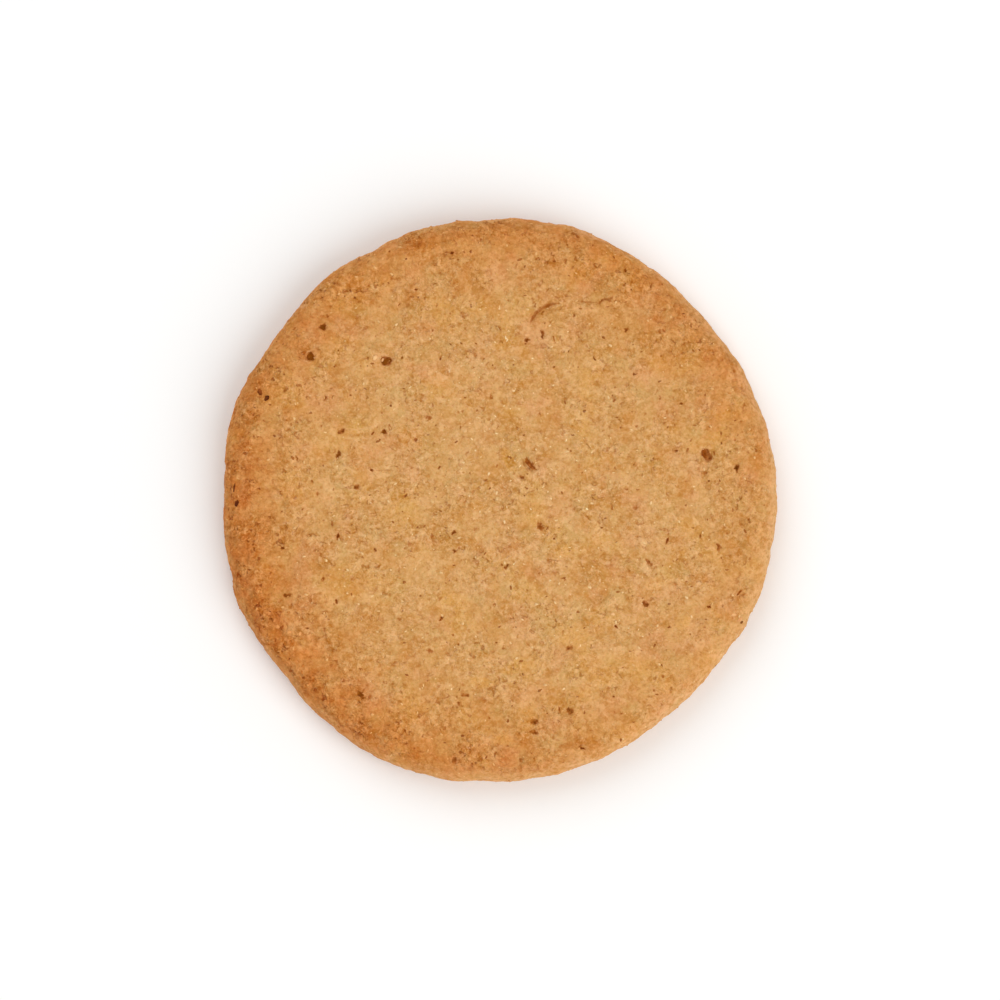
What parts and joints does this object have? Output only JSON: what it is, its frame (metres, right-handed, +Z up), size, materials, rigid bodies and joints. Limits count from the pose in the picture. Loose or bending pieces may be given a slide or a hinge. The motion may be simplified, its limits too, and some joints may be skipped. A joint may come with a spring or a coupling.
{
  "type": "oat biscuit",
  "caption": "Thin round baked oat biscuit with an uneven edge, a soft shoulder, a pitted crumb top and a flat underside.",
  "frame": {"origin": "middle of the flat underside, under the middle of the biscuit's box", "axes": "+Z up through the thickness; +X and +Y lie in the plane of the underside, +Y towards the fuller end of the outline"},
  "size_m": [0.0614, 0.0628, 0.0066],
  "materials": {
    "baked_oat_dough": "matt, finely granular baked wholemeal dough, browner at the rim, with dark pits and small splits",
    "oat_bran": "matt brown bran flecks and a few nearly black husk specks, sunk in the crumb",
    "oat_grain": "matt pale bits of rolled oat, sunk in the crumb"
  },
  "bodies": {
    "root": {"biscuit": "baked_oat_dough"}
  },
  "joints": []
}
